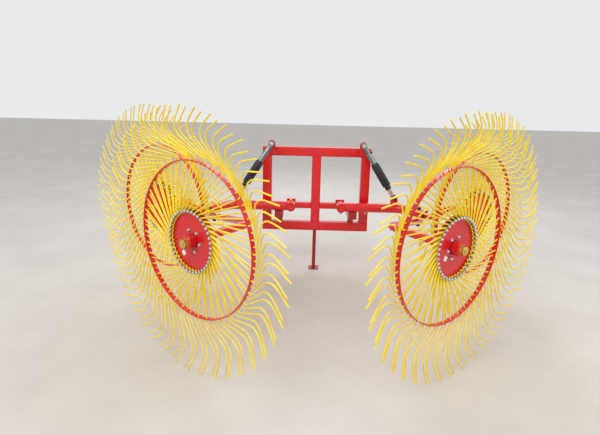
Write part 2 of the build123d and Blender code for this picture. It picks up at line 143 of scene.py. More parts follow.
def red_enamel():
    """The red of frame, booms and wheels: a full, even coat."""
    return sprayed_enamel("gloss_red_enamel_on_steel", [(0.3, "#D20F18"), (0.55, "#D8121B"), (0.75, "#DD1820")])


def red_enamel_darkened_as_shade():
    """The frame's red enamel darkened to maroon on the stand and the boom rests: painted shade, for the shadow
    they sit in under the rails and booms.
    """
    return sprayed_enamel("red_enamel_with_painted_shade", [(0.3, "#970E17"), (0.55, "#A0111A"), (0.75, "#A9151E")])


def yellow_enamel():
    """Enamel dipped over spring wire: lemon yellow that runs more orange in patches, with chips."""
    material, tree, (run, chip, grain) = new_material(
        "yellow_enamel_on_spring_wire", [(60, 4, 0.6), (5, 5, 0.7), (4, 2, 0.5)])
    tone = add(tree, "ShaderNodeValToRGB", {"Fac": run},
               [(0.32, "#F1C800"), (0.5, "#F9DC04"), (0.7, "#FEE818")]).outputs["Color"]
    # columns: factor, its two ends, and what they become
    chips, rough = [add(tree, "ShaderNodeMapRange", dict(enumerate(row))).outputs[0]
                    for row in ((chip, 0.76, 0.79, 0.0, 1.0), (run, 0.3, 0.7, 0.42, 0.30))]
    colour = add(tree, "ShaderNodeMix", {0: chips, 6: tone, 7: "#8A6A1E"}, data_type="RGBA").outputs[2]
    return coated(material, tree, grain, 0.12, 0.3, {
        "Base Color": colour, "Roughness": rough, "Coat Weight": 0.25, "Coat Roughness": 0.15})


def surface(name, tones, patches, gloss, grain, strength, depth, metal=0.0):
    """A surface whose tone and gloss drift in the same patches, under a fine grain.

    Patches and grain are patterns; gloss is two ends of the patches' factor and the roughness at each.
    """
    material, tree, (drift, fine) = new_material(name, [patches, grain])
    tone = add(tree, "ShaderNodeValToRGB", {"Fac": drift}, tones).outputs["Color"]
    rough = add(tree, "ShaderNodeMapRange", dict(enumerate((drift, *gloss)))).outputs[0]
    return coated(material, tree, fine, strength, depth, {
        "Base Color": tone, "Roughness": rough, "Metallic": metal})


def plated(name, tones, rough, grain):
    """Electroplated steel: a metal with a faint bloom in patches and fine scratches."""
    return surface(name, tones, (14, 4, 0.6), (0.3, 0.7, rough - 0.06, rough + 0.08), (grain, 3, 0.5),
                   0.15, 0.15, metal=1.0)


def bright_zinc():
    """Bright zinc on bolts and nuts: pale and slightly blue."""
    return plated("bright_zinc_plate", [(0.3, "#B9C0C4"), (0.5, "#CDD2D4"), (0.7, "#DADDDC")], 0.3, 2.0)


def yellow_zinc():
    """Yellow passivated zinc: gold that drifts to green and rose."""
    return plated("yellow_passivated_zinc", [(0.3, "#CBAF50"), (0.5, "#E4CC74"), (0.7, "#D6A964")], 0.33, 2.0)


def hard_chrome():
    """Hard chrome on a ground rod: bright and smooth."""
    return plated("hard_chrome_on_ground_rod", [(0.3, "#C8CBCE"), (0.7, "#DFE1E3")], 0.12, 1.5)


def drawn_tube():
    """Cold drawn tube under grey lacquer: cool grey and half metal, with a fine grain."""
    return surface("lacquered_cold_drawn_tube", [(0.3, "#707C85"), (0.55, "#87939C"), (0.75, "#A0ACB5")],
                   (35, 4, 0.6), (0.3, 0.7, 0.24, 0.36), (2.5, 2, 0.5), 0.12, 0.2, metal=0.8)


def filmed(name, tones, rough, grain, depth):
    """Rubber, plastic, lacquer or coated paper: a dusty bloom in the tone, and the surface's own grain."""
    return surface(name, tones, (30, 5, 0.6), (0.3, 0.75, rough, rough + 0.15), (grain, 2, 0.5), 0.2, depth)


def black_sleeve():
    """Moulded rubber: blue-black with a soft sheen."""
    return filmed("moulded_black_rubber", [(0.35, "#1A1D24"), (0.6, "#262A33"), (0.8, "#373C47")], 0.34, 1.6, 0.2)


def blackened_steel():
    """Oil-blackened fasteners: a neutral near-black with a slight gloss."""
    return filmed("blackened_fastener_steel", [(0.35, "#17181A"), (0.6, "#212225"), (0.8, "#2F2F31")],
                  0.35, 1.2, 0.15)


def black_lacquer():
    """Lacquered dust tube: near black and glossy enough to draw one bright line along it."""
    return filmed("black_lacquer_on_tube", [(0.35, "#0E0F11"), (0.6, "#151619"), (0.8, "#1F2023")],
                  0.16, 1.2, 0.08)


def red_cap_plastic():
    """Moulded transport caps on the cylinders' ports: a plain, slightly waxy red."""
    return filmed("moulded_red_polyethylene", [(0.35, "#C41219"), (0.6, "#D31A20"), (0.8, "#DC3A3C")],
                  0.4, 1.5, 0.15)


def label_paper():
    """Blank labels of coated paper: white with a little dust."""
    return filmed("glossy_label_paper", [(0.35, "#DEDFDC"), (0.6, "#ECECEA"), (0.8, "#F4F4F2")], 0.4, 1.0, 0.05)


def pale_floor():
    """Smooth trowelled floor: pale warm grey, a cloud of tone over half a metre, equally rough all over."""
    return surface("pale_trowelled_floor", [(0.3, "#C9C4BD"), (0.5, "#CFCAC3"), (0.7, "#D4D0C9")],
                   (600, 5, 0.6), (0.3, 0.7, 0.85, 0.85), (8, 4, 0.5), 0.08, 0.5)


FINISHES = {
    "red_paint": red_enamel, "red_paint_with_painted_shade": red_enamel_darkened_as_shade, "yellow_paint": yellow_enamel,
    "zinc_steel": bright_zinc, "yellow_zinc": yellow_zinc, "cylinder_steel": drawn_tube, "chrome": hard_chrome,
    "black_rubber": black_sleeve, "black_steel": blackened_steel, "black_gloss": black_lacquer,
    "red_cap": red_cap_plastic, "label": label_paper, "floor": pale_floor,
}
made = {}


def finish(name):
    if name not in made:
        made[name] = FINISHES[name]()
    return made[name]


# Mesh helpers

def piece(name, mesh, look, body, replaced=(), smooth=40):
    """Puts a finished mesh in the scene: shading, material, body and the solids that it stands for."""
    mesh.name = name
    mesh.shade_smooth()
    mesh.set_sharp_from_angle(angle=radians(smooth))
    mesh.materials.clear()
    mesh.materials.append(finish(look))
    obj = bpy.data.objects.new(name, mesh)
    bpy.context.scene.collection.objects.link(obj)
    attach(obj, body)
    if replaced:
        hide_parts(*replaced)
    return obj


def to_mesh(form):
    mesh = bpy.data.meshes.new("form")
    form.to_mesh(mesh)
    form.free()
    return mesh


def outward(form):
    """Ends a closed form with its faces pointing outwards."""
    bmesh.ops.recalc_face_normals(form, faces=form.faces)
    return to_mesh(form)


def joined(meshes):
    """Several meshes as one."""
    form = bmesh.new()
    for mesh in meshes:
        form.from_mesh(mesh)
    return to_mesh(form)


def placed(mesh, matrix):
    copy = mesh.copy()
    copy.transform(matrix)
    if matrix.determinant() < 0:
        copy.flip_normals()
    return copy


def moved(mesh, *at):
    return placed(mesh, Matrix.Translation(at))


def facing(at, ahead, side):
    """A place at a point, with Z looking ahead and X to the side."""
    z = Vector(ahead).normalized()
    x = (Vector(side) - z * z.dot(Vector(side))).normalized()
    return Matrix.Translation(at) @ Matrix((x, z.cross(x), z)).transposed().to_4x4()


def ring(form, radius, height, count):
    """Corners evenly round Z."""
    turns = [2 * pi * k / count for k in range(count)]
    return [form.verts.new((radius * cos(t), radius * sin(t), height)) for t in turns]


def band(form, low, high):
    """Faces between two closed rings with as many corners."""
    for k in range(len(low)):
        n = (k + 1) % len(low)
        form.faces.new((low[k], low[n], high[n], high[k]))


def lathe(profile, segments=48):
    """A closed solid of revolution about Z from (radius, height) pairs that run once round its section."""
    form = bmesh.new()
    rings = [ring(form, radius, height, segments) if radius > 1e-6 else [form.verts.new((0, 0, height))]
             for radius, height in profile]
    for low, high in zip(rings, rings[1:] + rings[:1]):
        if len(low) == len(high) == 1:
            continue
        if len(low) == len(high):
            band(form, low, high)
            continue
        for k in range(segments):
            n = (k + 1) % segments
            form.faces.new((low[0], high[n], high[k]) if len(low) == 1 else (low[k], low[n], high[0]))
    return outward(form)


def drum(radius, low, high, segments=48, bore=0.0, foot=None, head=None):
    """A turned drum or ring; foot and head tell how far an end's edge is turned down, inwards and along."""
    profile = [(bore, low)]
    profile += [(radius - foot[0], low), (radius, low + foot[1])] if foot else [(radius, low)]
    profile += [(radius, high - head[1]), (radius - head[0], high)] if head else [(radius, high)]
    return lathe(profile + [(bore, high)], segments)


def hexagon(across, low, high, chamfer=0.001):
    """A hexagonal nut or head with its corners turned down at the top."""
    corner = across / 2 / cos(pi / 6)
    form = bmesh.new()
    rings = [ring(form, radius, height, 6)
             for radius, height in ((corner, low), (corner, high - chamfer), (across / 2 * 0.96, high))]
    for a, b in zip(rings, rings[1:]):
        band(form, a, b)
    form.faces.new(rings[-1])
    form.faces.new(list(reversed(rings[0])))
    return outward(form)


def slab(outline, low, high, ease=0.001):
    """A plate between two heights with the given outline and broken edges."""
    form = bmesh.new()
    bottom, top = [[form.verts.new((x, y, z)) for x, y in outline] for z in (low, high)]
    form.faces.new(list(reversed(bottom)))
    form.faces.new(top)
    band(form, bottom, top)
    rims = [edge for edge in form.edges if abs(edge.verts[0].co.z - edge.verts[1].co.z) < 1e-6]
    bmesh.ops.bevel(form, geom=rims, offset=ease, segments=1, affect="EDGES")
    return outward(form)


def rounded_outline(wide, tall, corner, steps=4):
    points = []
    for x, y, start in ((1, 1, 0), (-1, 1, 90), (-1, -1, 180), (1, -1, 270)):
        for k in range(steps + 1):
            turn = radians(start + 90 * k / steps)
            points.append((x * (wide / 2 - corner) + corner * cos(turn),
                           y * (tall / 2 - corner) + corner * sin(turn)))
    return points


def rolled_tube(wide, tall, length, wall, corner):
    """An open rectangular tube along Z with the rounded corners of rolled tube."""
    outer = rounded_outline(wide, tall, corner)
    inner = rounded_outline(wide - 2 * wall, tall - 2 * wall, max(corner - wall, 0.001))
    half = length / 2
    form = bmesh.new()
    rings = [[form.verts.new((x, y, z)) for x, y in outline]
             for outline, z in ((outer, -half), (outer, half), (inner, half), (inner, -half))]
    for a, b in zip(rings, rings[1:] + rings[:1]):
        band(form, a, b)
    return outward(form)


def polyline(points, attributes=()):
    """A mesh of edges through the points; attributes maps a name to one value for each point."""
    mesh = bpy.data.meshes.new("line")
    mesh.from_pydata([tuple(p) for p in points], [(k, k + 1) for k in range(len(points) - 1)], [])
    for name, values in dict(attributes).items():
        mesh.attributes.new(name, "FLOAT", "POINT").data.foreach_set("value", values)
    return mesh


def bent_tube(points, bend, radius, sides=32):
    """A round tube along straight runs whose corners are bent to one radius."""
    bends = [0] + [bend] * (len(points) - 2) + [0]
    return grown("wire_ring", polyline(points, {"bend": bends}), wire_radius=radius, wire_sides=sides,
                 bend_steps=12, count=1, start_angle=0.0, material=finish("red_paint"))


def beads(lines, radius):
    """Weld beads along several lines of points."""
    return grown("weld", joined([polyline(line) for line in lines]), bead_radius=radius, ripple=2 * radius,
                 material=finish("red_paint"))


def headed_bolt(across, shank, reach, tall):
    """A hexagon head on a washer, standing on its seat, with the shank below it."""
    washer = 0.002
    return joined([drum(across * 0.72, 0.0, washer, 20), hexagon(across, washer, washer + tall),
                   drum(shank, -reach, 0.001, 16)])


def domed_nut(seat, washer, across, tall, chamfer, dome, sides):
    """A washer and a domed nut on a seat; dome lists its radii with their heights over the washer."""
    low = seat + 0.0016
    cap = [(0.0, dome[0][1])] + dome
    return joined([drum(washer, seat, low, sides[0]), hexagon(across, low, low + tall, chamfer),
                   lathe([(radius, low + height) for radius, height in cap], sides[1])])


# Geometry node trees

def node_tree(name, sockets):
    """A geometry tree with a Geometry input, the named inputs and a Geometry output."""
    tree = bpy.data.node_groups.new(name, "GeometryNodeTree")
    tree.interface.new_socket("Geometry", in_out="INPUT", socket_type="NodeSocketGeometry")
    for label, kind in sockets:
        tree.interface.new_socket(label, in_out="INPUT", socket_type="NodeSocket" + kind)
    tree.interface.new_socket("Geometry", in_out="OUTPUT", socket_type="NodeSocketGeometry")
    return tree, add(tree, "NodeGroupInput").outputs


def closed_tree(tree, geometry, material):
    """Ends a tree: real geometry with its material."""
    real = add(tree, "GeometryNodeRealizeInstances", {"Geometry": geometry}).outputs[0]
    merged = add(tree, "GeometryNodeMergeByDistance", {"Geometry": real, "Distance": WELD_APART}).outputs[0]
    coated = add(tree, "GeometryNodeSetMaterial", {"Geometry": merged, "Material": material}).outputs[0]
    add(tree, "NodeGroupOutput", {"Geometry": coated})
    return tree


def ring_of(tree, geometry, given):
    """Instances of a piece evenly round Z."""
    points = add(tree, "GeometryNodePoints", {"Count": given["Count"]}).outputs[0]
    step = add(tree, "ShaderNodeMath", {0: 2 * pi, 1: given["Count"]}, operation="DIVIDE").outputs[0]
    index = add(tree, "GeometryNodeInputIndex").outputs[0]
    turned = add(tree, "ShaderNodeMath", {0: index, 1: step, 2: given["Start Angle"]},
                 operation="MULTIPLY_ADD").outputs[0]
    turn = add(tree, "ShaderNodeCombineXYZ", {"Z": turned}).outputs[0]
    return add(tree, "GeometryNodeInstanceOnPoints", {
        "Points": points, "Instance": geometry, "Rotation": turn}).outputs[0]


def ring_tree():
    """Copies of a piece evenly round Z."""
    tree, given = node_tree("copies_round_axis", [
        ("Count", "Int"), ("Start Angle", "Float"), ("Material", "Material")])
    return closed_tree(tree, ring_of(tree, given["Geometry"], given), given["Material"])


def wire_ring_tree():
    """A wire swept along a line and bent to the line's own bend attribute, and its copies round Z."""
    tree, given = node_tree("wire_copies_round_axis", [
        ("Wire Radius", "Float"), ("Wire Sides", "Int"), ("Bend Steps", "Int"), ("Count", "Int"),
        ("Start Angle", "Float"), ("Material", "Material")])
    line = add(tree, "GeometryNodeMeshToCurve", {"Mesh": given["Geometry"]}).outputs[0]
    bend = add(tree, "GeometryNodeInputNamedAttribute", {"Name": "bend"}, data_type="FLOAT").outputs[0]
    bent = add(tree, "GeometryNodeFilletCurve", {
        "Curve": line, "Count": given["Bend Steps"], "Radius": bend, "Limit Radius": True},
        mode="POLY").outputs[0]
    section = add(tree, "GeometryNodeCurvePrimitiveCircle", {
        "Resolution": given["Wire Sides"], "Radius": given["Wire Radius"]}).outputs[0]
    wire = add(tree, "GeometryNodeCurveToMesh", {
        "Curve": bent, "Profile Curve": section, "Fill Caps": True}).outputs[0]
    return closed_tree(tree, ring_of(tree, wire, given), given["Material"])


def weld_tree():
    """Weld beads along lines of edges: a rope of metal with the ripples that the torch leaves."""
    tree, given = node_tree("weld_beads", [
        ("Bead Radius", "Float"), ("Ripple", "Float"), ("Material", "Material")])
    line = add(tree, "GeometryNodeMeshToCurve", {"Mesh": given["Geometry"]}).outputs[0]
    step = add(tree, "ShaderNodeMath", {0: given["Ripple"], 1: 2.0}, operation="DIVIDE").outputs[0]
    fine = add(tree, "GeometryNodeResampleCurve", {"Curve": line, "Length": step}, mode="LENGTH").outputs[0]
    index = add(tree, "GeometryNodeInputIndex").outputs[0]
    odd = add(tree, "ShaderNodeMath", {0: index, 1: 2.0}, operation="MODULO").outputs[0]
    swell = add(tree, "ShaderNodeMath", {0: odd, 1: 0.16, 2: 0.92}, operation="MULTIPLY_ADD").outputs[0]
    section = add(tree, "GeometryNodeCurvePrimitiveCircle", {
        "Resolution": 8, "Radius": given["Bead Radius"]}).outputs[0]
    bead = add(tree, "GeometryNodeCurveToMesh", {
        "Curve": fine, "Profile Curve": section, "Scale": swell, "Fill Caps": True}).outputs[0]
    return closed_tree(tree, bead, given["Material"])


TREES = {"ring": ring_tree, "wire_ring": wire_ring_tree, "weld": weld_tree}
grown_trees = {}


def grown(kind, mesh, **values):
    """Runs a tree on a mesh and returns the result as a plain mesh."""
    if kind not in grown_trees:
        grown_trees[kind] = TREES[kind]()
    tree = grown_trees[kind]
    obj = bpy.data.objects.new("growing", mesh)
    bpy.context.scene.collection.objects.link(obj)
    modifier = obj.modifiers.new("grow", "NODES")
    modifier.node_group = tree
    sockets = {item.name: item.identifier for item in tree.interface.items_tree if item.in_out == "INPUT"}
    for label, value in values.items():
        modifier[sockets[label.replace("_", " ").title()]] = value
    bpy.context.view_layer.update()
    result = bpy.data.meshes.new_from_object(obj.evaluated_get(bpy.context.evaluated_depsgraph_get()))
    obj.modifiers.remove(modifier)
    bpy.data.objects.remove(obj)
    return result


# Sizes and colours that a user would change

def length(name, description, default):
    return FloatProperty(name=name, description=description, default=default, unit="LENGTH")


def angle(name, description, default):
    return FloatProperty(name=name, description=description, default=default, subtype="ANGLE")


class WheelSizes(bpy.types.PropertyGroup):
    hairpins: IntProperty(name="Hairpins", description="Hairpin tines on a wheel", default=40, min=8)
    wire: length("Wire", "Diameter of the tine wire", 0.008)
    bolt_circle: length("Bolt circle", "Radius of the tine bolts' circle", 0.164)
    first_bolt: angle("First bolt", "Where the first tine bolt stands", radians(27.75))
    eye: length("Eye", "Radius of a tine's eye round its bolt", 0.008)
    eye_seat: length("Eye seat", "Gap between the disc and the lower leg", 0.0005)
    eye_gap: length("Eye gap", "Gap between the two legs at the eye", 0.001)
    head_seat: length("Head seat", "Height of the tine bolts' washers over the hoop's middle", 0.0245)
    disc_face: length("Disc face", "Height of the disc's face over the hoop's middle", 0.006)
    disc_radius: length("Disc radius", "Radius of the wheel's disc", 0.178)
    disc_thick: length("Disc thickness", "Thickness of the wheel's disc", 0.005)
    hoop: length("Hoop", "Middle radius of the hoop", 0.425)
    hoop_wide: length("Hoop width", "Width of the hoop's flat bar", 0.028)
    hoop_thick: length("Hoop thickness", "Thickness of the hoop's flat bar", 0.005)
    hole_gap: length("Hole gap", "Gap between the wire and its hole in the hoop", 0.0011)
    first_elbow: length("First elbow", "Radius of the first elbow", 0.448)
    first_bend: length("First bend", "Bend radius of the first elbow", 0.018)
    second_elbow: length("Second elbow", "Radius of the second elbow", 0.584)
    second_turn: angle("Second turn", "Turn of the second elbow from its hole", radians(20.5))
    second_bend: length("Second bend", "Bend radius of the second elbow", 0.070)
    lead_hole: angle("Lead hole", "Turn of the upper leg's hole from its bolt", radians(-24.05))
    trail_hole: angle("Trail hole", "Turn of the lower leg's hole from its bolt", radians(-37.55))
    shank: length("Shank", "Radius of a tine bolt's shank", 0.0034)
    back_head: length("Back head", "Tine bolt's head on the disc's back, across its flats", 0.013)
    back_head_tall: length("Back head height", "Height of that head", 0.006)


class HubSizes(bpy.types.PropertyGroup):
    bore: length("Bore", "Radius of the hub's bore", 0.0151)
    barrel: length("Barrel", "Radius of the hub's barrel", 0.038)
    proud: length("Proud", "Height of the barrel's end", 0.050)
    back_end: length("Back end", "Height of the barrel's end behind the disc", -0.062)
    flange: length("Flange", "Radius of the hub's flange", 0.075)
    flange_thick: length("Flange thickness", "Thickness of the hub's flange", 0.010)
    hub_bolts: IntProperty(name="Hub bolts", description="Bolts that hold the disc to the hub", default=6, min=3)
    hub_bolt_circle: length("Hub bolt circle", "Radius of the hub bolts' circle", 0.060)
    hub_bolt_turn: angle("Hub bolt turn", "Where the first hub bolt stands", radians(52.4))
    nut: length("Nut", "Axle nut across its flats", 0.046)
    nut_tall: length("Nut height", "Height of the axle nut", 0.020)
    washer: length("Washer", "Radius of the axle washer", 0.027)
    washer_thick: length("Washer thickness", "Thickness of the axle washer", 0.004)
    nut_gap: length("Nut gap", "Running gap under the axle washer", 0.001)
    thread: length("Thread", "Radius of the axle's end in its nut", 0.0156)
    thread_proud: length("Thread end", "How far the axle's end stands out of its nut", 0.0048)
    label: length("Label", "Side of the blank label", 0.027)


class BoomSizes(bpy.types.PropertyGroup):
    boom: length("Boom", "Radius of the boom tube", 0.038)
    boom_bend: length("Boom bend", "Bend radius of the boom", 0.130)
    boss_long: length("Boss length", "Length of the hinge boss", 0.092)
    boss_bore: length("Boss bore", "Radius of the hinge bore", 0.0151)
    corner_back: length("Boom corner", "Boom's corner behind the front hub", 0.650)
    end_back: length("Boom end", "Boom's end behind the front hub", 0.410)
    arm: length("Arm", "Radius of the wheel arms", 0.024)
    arm_end: length("Arm end", "Arms' ends behind their hubs", 0.067)
    front_start: length("Front arm start", "Front arm's start in the boom, behind its hub", 0.520)
    front_dip: length("Front arm dip", "Where the front arm turns down, behind its hub", 0.340)
    front_level: length("Front arm level", "Where it runs level again, behind its hub", 0.205)
    front_bend: length("Front bend", "Bend radius of the front arm", 0.110)
    rear_bend: length("Rear bend", "Bend radius of the rear arm", 0.095)
    clamp_back: length("Clamp bolt", "Clamp bolt behind the front hub", 0.470)
    clamp_seat: length("Clamp seat", "Gap between boom and rear arm", 0.004)
    rear_tail: length("Rear tail", "Rear arm's tail past the clamp bolt", 0.075)
    rear_elbow: length("Rear elbow", "Rear arm's elbow behind the rear hub", 0.440)
    lug_x: length("Lug place", "Cylinder lugs from the middle", 0.642)
    lug_z: length("Lug height", "Height of the cylinder's foot pin", 0.683)
    lug_half: length("Lug gap", "Half the gap between the cylinder lugs", 0.020)
    lug_thick: length("Lug thickness", "Thickness of a cylinder lug", 0.008)
    lug_round: length("Lug round", "Radius of a cylinder lug's end", 0.024)
    lug_root: length("Lug root", "Height of a lug's foot over the boom's middle", 0.030)
    plug_deep: length("Plug depth", "How deep the end plug sits in the boom", 0.046)
    boom_bead: length("Boom bead", "Radius of the weld beads on the boom", 0.0025)


class CylinderSizes(bpy.types.PropertyGroup):
    eye: length("Eye", "Radius of the eyes", 0.022)
    eye_half: length("Eye width", "Half the width of the eyes", 0.018)
    eye_bore: length("Eye bore", "Radius of the eyes' bore", 0.0101)
    barrel: length("Barrel", "Radius of the barrel", 0.020)
    barrel_start: length("Barrel start", "Barrel's start from the top eye", 0.016)
    barrel_end: length("Barrel end", "Barrel's end from the top eye", 0.296)
    port: length("Port", "Port from the top eye", 0.077)
    ram: length("Ram", "Radius of the ram", 0.0182)
    ram_start: length("Ram start", "Ram's start from the top eye", 0.190)
    ram_stop: length("Ram end", "Ram's end before the lower eye's middle", 0.014)


class FrameSizes(bpy.types.PropertyGroup):
    bar: length("Bar", "Height of the frame's tube", 0.076)
    wall: length("Wall", "Wall of the frame's tube", 0.004)
    corner: length("Corner", "Corner radius of the frame's tube", 0.007)
    bead: length("Frame bead", "Radius of the frame's weld beads", 0.0028)
    bolt_x: length("Small bolt place", "Small bolts from the middle", 0.428)
    bolt_z: length("Small bolt height", "Height of the small bolts", 0.520)


class StandSizes(bpy.types.PropertyGroup):
    leg: length("Leg", "Side of the stand leg's tube", 0.030)
    leg_wall: length("Leg wall", "Wall of the stand leg", 0.003)
    leg_corner: length("Leg corner", "Corner radius of the leg's and the guide's tube", 0.004)
    foot_thick: length("Foot", "Thickness of the stand's foot", 0.006)
    foot_corner: length("Foot corner", "Corner radius of the stand's foot", 0.008)
    foot_bead: length("Foot bead", "Radius of the foot's weld bead", 0.0022)
    guide_wall: length("Guide wall", "Wall of the leg's guide", 0.004)
    linch_ring: length("Linchpin ring", "Radius of a linchpin's ring", 0.018)
    linch_wire: length("Linchpin wire", "Radius of that ring's wire", 0.0014)
    linch_in: length("Linchpin place", "Linchpin from the hitch pin's end", 0.010)


class StageSizes(bpy.types.PropertyGroup):
    lens: FloatProperty(name="Lens", description="Focal length in millimetres", default=24.39)
    rise: FloatProperty(name="Rise", description="Vertical shift of the lens", default=-0.0472)
    camera: FloatVectorProperty(
        name="Camera", description="Where the camera stands", default=(-0.1177, -2.5413, 1.4055), subtype="XYZ")
    pitch: angle("Pitch", "How far the camera looks down", 0.2004)
    yaw: angle("Yaw", "How far the camera turns to the right", -0.0051)
    roll: angle("Roll", "How far the camera leans", -0.0241)
    floor: length("Floor", "Half the floor's side", 30.0)
    background: FloatVectorProperty(
        name="Background", description="Colour behind the object", default=linear("#E9EAEC")[:3], subtype="COLOR")


# Fixed forms, in metres
DISC_EDGE = (0.0012, 0.0012)  # how far the disc's edge is turned down, and the hoop's
TINE_NUT = {"washer": 0.0082, "across": 0.0155, "tall": 0.0045, "chamfer": 0.0006, "sides": (12, 10),
            "dome": [(0.0072, 0.004), (0.0068, 0.007), (0.0046, 0.0095), (0.0, 0.0105)]}
HUB_NUT = {"washer": 0.0098, "across": 0.0165, "tall": 0.0059, "chamfer": 0.0008, "sides": (20, 20),
           "dome": [(0.0076, 0.0054), (0.0070, 0.0089), (0.0046, 0.0114), (0.0, 0.0124)]}
SEAM_SHADE = (0.0002, 0.0026, 0.0006)  # dark line round a hub, painted shade in the crease where the barrel meets the disc: its inner and outer side from the barrel, and height
NUT_CHAMFER, THREAD_EDGE = 0.0025, (0.001, 0.0008)  # of the axle nut, and of the axle's end in it
PAPER = (0.002, 0.0004, 0.0001)  # blank label: its corner radius, thickness and edge
# Bolts: head across its flats, shank's radius, its reach below the seat, head's height
LOCK_BOLT = (0.019, 0.006, 0.006, 0.016)
CLAMP_BOLT = (0.024, 0.008, 0.020, 0.012)
PIN_HEAD = (0.024, 0.006, 0.002, 0.007)
SMALL_BOLT = (0.013, 0.004, 0.003, 0.007)
# Half of the cylinder's foot pin: radius, and height over the lug's outer face
FOOT_PIN = [(0.010, 0.0), (0.014, 0.0), (0.014, 0.005), (0.013, 0.006), (0.0, 0.006)]
# Turned rings by their distance along the cylinder: from the top eye, and the ram's from the lower one
COLLAR = {"radius": 0.0208, "low": 0.014, "high": 0.027, "foot": (0.0013, 0.0015)}
RAM_COLLAR = {"radius": 0.0194, "low": -0.030, "high": -0.016, "foot": (0.0006, 0.001)}
# The port and its cap, with their heights over the barrel's middle line
PORT = {"across": 0.018, "low": 0.018, "high": 0.028}
PORT_CAP = {"radius": 0.0075, "low": 0.027, "high": 0.036, "segments": 20, "head": (0.0015, 0.002)}
# Sections along the cylinder: radius, and distance from the top eye
SLEEVE = [
    (0.0203, 0.166), (0.0245, 0.166), (0.0255, 0.168), (0.0290, 0.178), (0.0322, 0.186), (0.033, 0.190),
    (0.033, 0.256), (0.0316, 0.2575), (0.0316, 0.2625), (0.033, 0.264), (0.033, 0.377), (0.0320, 0.380),
    (0.030, 0.380), (0.030, 0.192), (0.0203, 0.190)]
DUST_TUBE = [
    (0.0210, 0.292), (0.0235, 0.292), (0.0235, 0.398), (0.0245, 0.400), (0.0245, 0.410), (0.0230, 0.412),
    (0.0184, 0.412), (0.0184, 0.402), (0.0210, 0.402)]
# Section of a linchpin: radius, and height over the hitch pin's middle
LINCHPIN = [(0.0, -0.022), (0.003, -0.022), (0.0045, -0.018), (0.0045, 0.014), (0.0075, 0.014),
            (0.0075, 0.022), (0.0, 0.022)]
RING_TOP = 0.018  # where the linchpin's ring passes through its head
# Each side's blank label on its disc: radius, turn from the wheel's own X, and slant
LABELS = {"left": (0.110, radians(228), radians(45)), "right": (0.082, radians(216), radians(30))}
# Lamps: name, place, aim, width and watts
LAMPS = [("key", (-2.6, -3.4, 4.6), (0, 0, 0.5), 3.2, 125),
         ("fill", (3.6, -2.2, 3.2), (0, 0, 0.6), 3.0, 50),
         ("back", (0.6, 4.2, 4.4), (0, 0, 0.5), 3.5, 85)]
SOFT_LIGHT = 0.82  # strength of the light from all round
SENSOR, CLIP_END = 36, 200


# The wheels

def wheels():
    """Each wheel's name, side, body and place, from its own spin joint; the right wheels are mirrored."""
    for joint in frame["joints"]:
        if "wheel_spin" in joint["name"]:
            place, _, _, side = joint["name"].split("_")
            out = Vector(joint["axis"]).normalized()
            turn = Matrix((UP.cross(out), UP, out)).transposed().to_4x4()
            mirrored = Matrix.Diagonal((-SIGNS[side], 1, 1, 1))
            yield f"{place}_wheel", side, joint["child"], Matrix.Translation(joint["pos_m"]) @ turn @ mirrored


def on_wheels(*rows):
    """Sets pieces on each wheel; a row is kind, mesh, finish, kind of solid it stands for, and smoothing."""
    for name, side, body, place in wheels():
        for kind, mesh, look, solid, smooth in rows:
            piece(f"{name}_{kind}_{side}", placed(mesh, place), look, body,
                  [f"{name}_{solid}_{side}"] if solid else (), smooth)


def polar(radius, turn, height=0.0):
    return Vector((radius * cos(turn), radius * sin(turn), height))


def round_wheel(mesh, sizes, look):
    """Copies of a mesh, one for each hairpin of a wheel."""
    return grown("ring", mesh, count=sizes.hairpins, start_angle=sizes.first_bolt, material=finish(look))


def hairpin_legs(sizes):
    """The two legs of a hairpin from eye to tip, for a wheel whose tines lag clockwise."""
    low = sizes.disc_face + sizes.eye_seat + sizes.wire / 2
    high = low + sizes.wire + sizes.eye_gap
    # columns: side of the eye, height there, turn of the hole, turn and height of the first elbow,
    # height of the second, then radius, turn and height of the tip
    table = [
        (1, high, sizes.lead_hole, -0.7, 0.0025, 0.065, 0.7013, 13.0, 0.072),
        (-1, low, sizes.trail_hole, -1.0, -0.0045, 0.074, 0.6963, 12.3, 0.086),
    ]
    legs = []
    for side, eye_lift, hole, turn_1, lift_1, lift_2, tip, tip_turn, tip_lift in table:
        elbow = polar(sizes.first_elbow, hole + radians(turn_1), lift_1)
        heading = atan2(elbow.y, elbow.x - sizes.bolt_circle) + side * pi / 2
        eye = Vector((sizes.bolt_circle, 0, eye_lift)) + polar(sizes.eye, heading)
        legs.append((heading, [
            (eye, 0), (elbow, sizes.first_bend),
            (polar(sizes.second_elbow, hole + sizes.second_turn, lift_2), sizes.second_bend),
            (polar(tip, hole + radians(tip_turn), tip_lift), 0)]))
    return legs


def hairpin_line(sizes, steps=8):
    """The middle line of one hairpin, with the radius of each bend; its eye is an arc of so many steps."""
    (start, lead), (end, trail) = hairpin_legs(sizes)
    end += 2 * pi
    high, low = lead[0][0].z, trail[0][0].z
    middle = Vector((sizes.bolt_circle, 0, 0))
    arc = [(middle + polar(sizes.eye, start + share * (end - start), high + (low - high) * share), 0)
           for share in (k / steps for k in range(1, steps))]
    points, bends = zip(*list(reversed(lead)) + arc + trail)
    return polyline(points, {"bend": bends})


